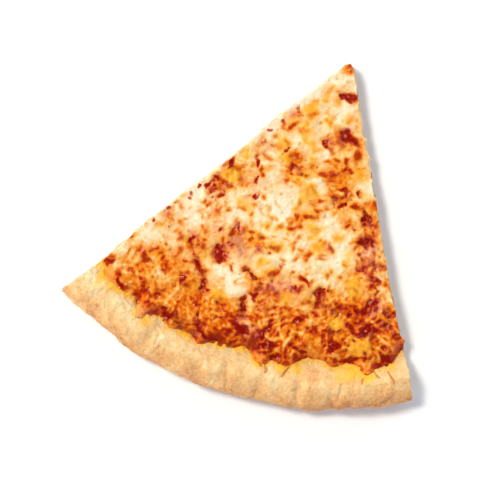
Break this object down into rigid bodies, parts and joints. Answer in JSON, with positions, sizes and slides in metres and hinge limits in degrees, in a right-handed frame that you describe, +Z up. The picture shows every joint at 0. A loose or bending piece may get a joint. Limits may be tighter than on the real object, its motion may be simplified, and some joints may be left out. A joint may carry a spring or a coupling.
{
  "type": "cheese pizza slice",
  "caption": "Wedge of cheese pizza: baked crust with a puffed rim, a layer of tomato sauce and browned melted cheese.",
  "frame": {"origin": "on the surface the slice lies on, under the middle of the slice's box", "axes": "+Z up from the flat underside, +Y towards the slice's tip, -Y towards its rim"},
  "size_m": [0.1578, 0.1518, 0.0167],
  "materials": {
    "baked_dough": "matt baked dough, pale gold, browner on the outer flank",
    "tomato_sauce": "wet cooked tomato, deep red",
    "melted_cheese": "melted mozzarella, cream to browned orange, slightly oily"
  },
  "bodies": {
    "root": {"crust": "baked_dough", "sauce": "tomato_sauce", "cheese": "melted_cheese"}
  },
  "joints": []
}
